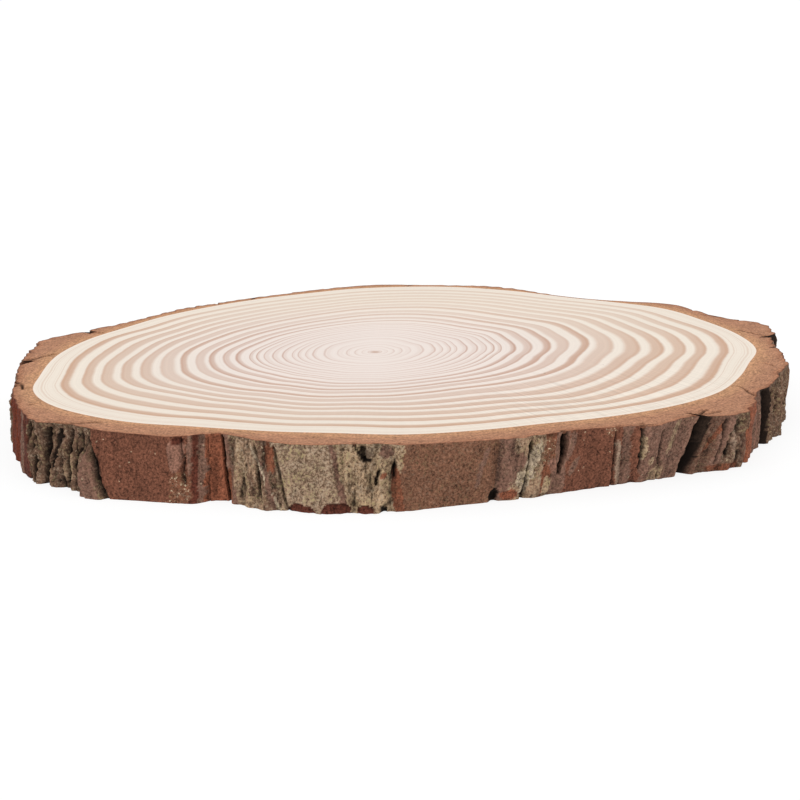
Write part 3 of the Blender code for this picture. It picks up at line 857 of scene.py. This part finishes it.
class Finish:
    def __init__(self, name, look):
        colours = look.get("colours", {})
        self.tones = {tone: linear(colour) for tone, colour in colours.items()}
        self.material = bpy.data.materials.new(name)
        self.material.use_nodes = True
        self.nodes = self.material.node_tree.nodes
        self.links = self.material.node_tree.links
        self.shader = self.nodes["Principled BSDF"]
        self.shader.inputs["Roughness"].default_value = look["roughness"]
        self.shader.inputs["Specular IOR Level"].default_value = look["specular"]

    def feed(self, socket, value):
        if isinstance(value, Wire):
            self.links.new(value.socket, socket)
        elif isinstance(value, (tuple, list, np.ndarray)) and socket.type == "RGBA":
            socket.default_value = (*value[:3], 1)
        else:
            socket.default_value = value

    def node(self, kind, settings=None, inputs=None, output=0):
        made = self.nodes.new(kind)
        for name, value in (settings or {}).items():
            setattr(made, name, value)
        for name, value in (inputs or {}).items():
            self.feed(made.inputs[name], value)
        return Wire(self, made.outputs[output])

    def maths(self, operation, *values):
        return self.node("ShaderNodeMath", {"operation": operation},
                         dict(enumerate(values)))

    def vectors(self, operation, *values, output="Vector"):
        return self.node("ShaderNodeVectorMath", {"operation": operation},
                         dict(enumerate(values)), output)

    def scaled(self, vector, amount):
        return self.vectors("MULTIPLY", vector, (amount, amount, amount))

    def mixed(self, factor, first, second, blend="MIX"):
        return self.node("ShaderNodeMix", {"data_type": "RGBA", "blend_type": blend},
                         {0: factor, 6: first, 7: second}, 2)

    def shaded(self, colour, amount):
        # the colour made lighter or darker by a number
        grey = self.node("ShaderNodeCombineXYZ", {}, {0: amount, 1: amount, 2: amount})
        return self.mixed(1, colour, grey, "MULTIPLY")

    def attribute(self, name, output="Fac"):
        return self.node("ShaderNodeAttribute", {"attribute_name": name}, {}, output)

    def noise(self, vector, scale, detail=2, roughness=0.5):
        return self.node("ShaderNodeTexNoise", {},
                         {"Vector": vector, "Scale": scale, "Detail": detail,
                          "Roughness": roughness})

    def dots(self, vector, scale):
        # distance to the nearest of many scattered points
        return self.node("ShaderNodeTexVoronoi", {"feature": "F1"},
                         {"Vector": vector, "Scale": scale, "Randomness": 1}, "Distance")

    def length(self, vector):
        return self.vectors("LENGTH", vector, output="Value")

    def share(self, vector, axis):
        return self.node("ShaderNodeSeparateXYZ", {}, {0: vector}, axis)

    def inMillimetres(self):
        place = self.node("ShaderNodeTexCoord", {}, {}, "Object")
        return self.scaled(place, 1 / mm)

    def done(self, colour, relief, strength, distance):
        self.feed(self.shader.inputs["Base Color"], colour)
        bump = self.node("ShaderNodeBump", {},
                         {"Strength": strength, "Distance": distance * mm, "Height": relief},
                         "Normal")
        self.feed(self.shader.inputs["Normal"], bump)
        return self.material


woodLook = {
    "colours": {
        "pale": (239, 227, 212),
        "palePink": (239, 226, 218),  # the same towards the pith
        "late": (204, 165, 138),  # the darker part of each ring
        "latePink": (200, 163, 146),
        "pith": (186, 138, 110),
        "fleck": (120, 80, 55),
    },
    "turnsPale": (30, 105),  # where pink gives way, in mm from the pith
    "pithEdge": (0.6, 2.4),
    "wobble": 0.10,  # of a ring
    "grain": 0.06,
    "rings": 0.08,  # faint lines between the rings
    "bandStart": (0.10, 0.34),  # of a ring: least, and how much it varies
    "bandWidth": 0.26,
    "line": (0.70, 0.84),  # the thin dark end of a ring
    "nextRing": (0.84, 1),
    "insideRings": (12, 19),  # thin lines up to here, bands from there on
    "youngRings": (3, 15),  # fainter ones near the pith
    "lastRing": (25.9, 26.05),  # pale next to the bark
    "calmBack": 0.45,  # how much fainter the rings are at the back
    "backReach": 95,
    "calmInside": 0.50,  # and the inner ones in front of and behind the pith
    "sawMarks": 0.11,  # at the place that hatchedAt names
    "hatchedAt": (62, -80),
    "hatchedReach": (20, 75),
    "sawTurn": 61,  # degrees
    "roughness": 0.62,
    "specular": 0.3,
}


def woodFinish():
    look = woodLook
    wood = Finish("wood", look)
    tone = wood.tones
    place = wood.inMillimetres()
    ring = wood.attribute("ring")
    drift = wood.noise(place, 0.05) - 0.5
    fine = wood.noise(place, 0.45) - 0.5
    ring = ring + drift * look["wobble"] * 2 + fine * look["wobble"] * 0.4
    number = wood.maths("FLOOR", ring)
    part = wood.maths("FRACT", ring)
    luck = wood.node("ShaderNodeTexWhiteNoise", {"noise_dimensions": "1D"}, {"W": number})
    least, varied = look["bandStart"]
    start = luck * varied + least
    band = part.over(start, start + look["bandWidth"])
    line = part.over(*look["line"])
    inside = 1 - ring.over(*look["insideRings"])
    late = band * (0.80 - inside * 0.5) + line * (0.20 + inside * 0.6)
    late = late * (1 - part.over(*look["nextRing"]))
    beforeLast = 1 - ring.over(*look["lastRing"])
    thin = wood.noise(wood.node("ShaderNodeCombineXYZ", {}, {2: ring * 9}), 1)
    last = thin.over(0.50, 0.62) * 0.32
    young = ring.over(*look["youngRings"]) * 0.55 + 0.45

    fromPith = wood.vectors("SUBTRACT", place, (pith[0], pith[1], thickness / 2))
    flat = wood.vectors("MULTIPLY", fromPith, (1, 1, 0))
    direction = wood.vectors("NORMALIZE", flat)
    blotch = wood.noise(place, 0.018)
    toBack = wood.share(place, 1)
    toSide = wood.maths("ABSOLUTE", wood.share(direction, 0))
    calm = 1 - toBack.over(0, look["backReach"]) * look["calmBack"]
    calm = calm * (1 - (1 - toSide) * inside * look["calmInside"])
    depth = late * (0.66 + luck * 0.50) * beforeLast * young + last * (1 - beforeLast)
    depth = depth * calm * (0.70 + blotch * 0.60)

    distance = wood.length(flat)
    outward = distance.over(*look["turnsPale"])
    paleColour = wood.mixed(outward, tone["palePink"], tone["pale"])
    lateColour = wood.mixed(outward, tone["latePink"], tone["late"])
    colour = wood.mixed(depth, paleColour, lateColour)
    colour = wood.mixed((1 - distance.over(*look["pithEdge"])) * 0.7, colour, tone["pith"])
    rays = wood.noise(wood.vectors("ADD", wood.scaled(direction, 75),
                                   wood.scaled(flat, 0.04)), 1, 3, 0.6)
    turned = wood.node("ShaderNodeVectorRotate", {"rotation_type": "Z_AXIS"},
                       {"Vector": place, "Angle": math.radians(look["sawTurn"])})
    sawn = wood.noise(wood.vectors("MULTIPLY", turned, (0.05, 1.1, 0)), 1, 1)
    away = wood.length(wood.vectors("SUBTRACT", place, (*look["hatchedAt"], thickness)))
    hatched = 1 - away.over(*look["hatchedReach"])
    light = (1 + (rays - 0.5) * look["grain"] + (blotch - 0.5) * 0.08
             + (sawn - 0.5) * hatched * look["sawMarks"] * 4
             - (thin - 0.5) * beforeLast * look["rings"] * 2)
    colour = wood.shaded(colour, light)
    flecks = 1 - wood.dots(place, 0.045).over(0.012, 0.024)
    colour = wood.mixed(flecks * 0.6, colour, tone["fleck"])
    return wood.done(colour, late * 0.4 + rays * 0.4 + sawn * 0.3, 0.25, 0.12)


barkLook = {
    "colours": {
        # painted shade in cracks, crevices and hollows
        "crackShade": (26, 19, 15),
        "lichenLight": (184, 162, 138),
        "lichenYellow": (176, 158, 114),
        "lichenDark": (92, 70, 54),
        "cream": (212, 188, 156),
        "sawnInner": (194, 146, 110),  # sawn bark next to the wood
        "sawnOuter": (176, 128, 100),
        "sawnRed": (160, 104, 76),
        "sawnEdge": (104, 62, 46),
        "cambium": (244, 231, 217),
    },
    "cambiumEdge": (0.5, 0.8),  # mm from the wood
    "glintSpecks": 2.3,  # painted glints: light specks, times the bark's colour
    "streaks": 0.9,
    "blotches": 0.7,
    "grain": 3.6,
    # painted highlight on proud edges and painted shade on sunken ones
    "litEdges": 0.35,
    "sawnFibres": 1.5,
    "sawnGrain": 2.2,
    "roughness": 0.85,
    "specular": 0.08,
}


def barkFinish():
    look = barkLook
    bark = Finish("bark", look)
    tone = bark.tones
    place = bark.inMillimetres()
    tint = bark.attribute("tint", "Color")
    lichen, streaks, dark, edge, cream, fromWood, fromBark, cut = (
        bark.attribute(name) for name in
        ("lichen", "streaks", "dark", "edge", "cream", "fromWood", "fromBark", "cut"))

    # the rough side: its own tint, painted glint specks, lichen, cream crumbs, painted shade in cracks
    # and hollows
    upright = bark.noise(bark.vectors("MULTIPLY", place, (1, 1, 0.14)), 0.75, 4, 0.6)
    blotch = bark.noise(place, 0.16, 4, 0.6)
    grain = bark.noise(place, 1.5, 3, 0.7)
    # the edge term paints highlight on proud edges of the relief and shade on sunken ones
    light = (0.95 + (upright - 0.5) * streaks * look["streaks"]
             + (blotch - 0.5) * look["blotches"] + (grain - 0.5) * look["grain"]
             - edge * look["litEdges"])
    colour = bark.shaded(tint, light)
    # painted glints: small light specks, lighter copies of the bark's own tint
    glintSpecks = bark.noise(place, 2.4, 1).over(0.58, 0.72)
    colour = bark.mixed(glintSpecks * 0.45, colour, bark.shaded(tint, look["glintSpecks"]))
    cells = bark.noise(place, 1.25, 4, 0.75)
    patches = bark.noise(place, 0.22, 3, 0.6)
    crust = bark.mixed(patches.over(0.42, 0.62), tone["lichenLight"], tone["lichenYellow"])
    colour = bark.mixed(cells.over(0.51, 0.60) * lichen * 0.8, colour, crust)
    gaps = 1 - cells.over(0.40, 0.47)
    colour = bark.mixed(gaps * lichen * 0.85, colour, tone["lichenDark"])
    shift = bark.node("ShaderNodeTexNoise", {},
                      {"Vector": place, "Scale": 0.9, "Detail": 2}, "Color")
    torn = bark.vectors("ADD", place, bark.scaled(shift, 1.6))
    rare = bark.noise(place, 0.3).over(0.50, 0.60)
    speck = (1 - bark.dots(torn, 0.5).over(0.08, 0.17)) * rare * cream.over(0, 0.3)
    some = bark.noise(place, 0.55).over(0.46, 0.54)
    crumb = (1 - bark.dots(torn, 1.3).over(0.16, 0.34)) * some * cream.over(0.5, 0.9)
    scattered = bark.maths("MAXIMUM", speck * 0.7, crumb * 0.9)
    colour = bark.mixed(scattered, colour, tone["cream"])
    # painted shade in cracks, crevices and hollows of the side
    colour = bark.mixed(dark, colour, tone["crackShade"])

    # the sawn band: from the cambium at the wood to the dark outer edge
    slow = bark.noise(place, 0.10, 3) - 0.5
    layers = bark.vectors("MULTIPLY", place, (0.28, 0.28, 0))
    layers = bark.vectors("ADD", layers, bark.node("ShaderNodeCombineXYZ", {},
                                                   {2: fromWood * 1.3}))
    fibres = bark.noise(layers, 1, 4, 0.7)
    outward = (fromWood + slow * 8).over(0.5, 8)
    sawn = bark.mixed(outward, tone["sawnInner"], tone["sawnOuter"])
    red = 1 - (fromBark + slow * 4).over(0.4, 3)
    sawn = bark.mixed(red * 0.45, sawn, tone["sawnRed"])
    sawn = bark.shaded(sawn, 1 + slow * 0.34 + (fibres - 0.5) * look["sawnFibres"]
                       + (grain - 0.5) * look["sawnGrain"])
    rim = 1 - (fromBark + slow * 0.6).over(0.1, 0.55)
    sawn = bark.mixed(rim * 0.75, sawn, tone["sawnEdge"])
    sawn = bark.mixed(1 - fromWood.over(*look["cambiumEdge"]), sawn, tone["cambium"])
    # painted shade in the fine cracks of the sawn band
    sawn = bark.mixed(dark * 0.9, sawn, tone["crackShade"])
    colour = bark.mixed(cut, colour, sawn)

    relief = (upright * streaks * 0.5 + grain * 0.5 + cells * lichen * 1.2) * (1 - cut)
    return bark.done(colour, relief + fibres * cut * 0.25, 0.7, 0.35)


makeWood(woodFinish())
print("sawn wood made")
makeBark(barkFinish())
print("bark made")


# Camera, lights and floor

stage = {
    "cameraAt": (-4.43, -542.24, 135.54),
    "cameraDown": 14.036,  # degrees below level
    "lens": 72,
    "sensor": 36,
    "seesTo": 3000,
    "floorSize": 2000,
    "floorColour": (0.20, 0.20, 0.20, 1),
    "floorGlow": 0.83,
    "worldLight": 0.92,
    "roughness": 0.9,
    "specular": 0,
}

softLights = {
    # name: where it stands, strength, how soft its shadow is in degrees
    "key": ((-0.9, -1.3, 1.6), 0.38, 45),
    "fill": ((1.3, -1, 0.8), 0.10, 60),
}


def makeCamera():
    camera = linked("photoView", bpy.data.cameras.new("photoView"))
    camera.data.lens = stage["lens"]
    camera.data.sensor_width = stage["sensor"]
    camera.data.clip_end = stage["seesTo"]
    camera.location = [value * mm for value in stage["cameraAt"]]
    camera.rotation_euler = (math.radians(90 - stage["cameraDown"]), 0, 0)
    bpy.context.scene.camera = camera


def makeFloor():
    half = stage["floorSize"] / 2
    mesh = bpy.data.meshes.new("floor")
    mesh.from_pydata([(-half, -half, 0), (half, -half, 0), (half, half, 0), (-half, half, 0)],
                     [], [(0, 1, 2, 3)])
    pale = Finish("floor", stage)
    pale.shader.inputs["Base Color"].default_value = stage["floorColour"]
    pale.shader.inputs["Emission Strength"].default_value = stage["floorGlow"]
    mesh.materials.append(pale.material)
    floor = linked("floor", mesh)


def makeLights():
    for name, (place, strength, softness) in softLights.items():
        lamp = linked(name, bpy.data.lights.new(name, "SUN"))
        lamp.data.energy = strength
        lamp.data.angle = math.radians(softness)
        lamp.location = place
        lamp.rotation_euler = (-Vector(place)).to_track_quat("-Z", "Y").to_euler()
    world = bpy.data.worlds.new("softRoom")
    world.use_nodes = True
    background = world.node_tree.nodes["Background"]
    background.inputs["Color"].default_value = (1, 1, 1, 1)
    background.inputs["Strength"].default_value = stage["worldLight"]
    bpy.context.scene.world = world
    bpy.context.scene.view_settings.view_transform = "Standard"


makeCamera()
makeFloor()
makeLights()
print("camera, floor and lights set")
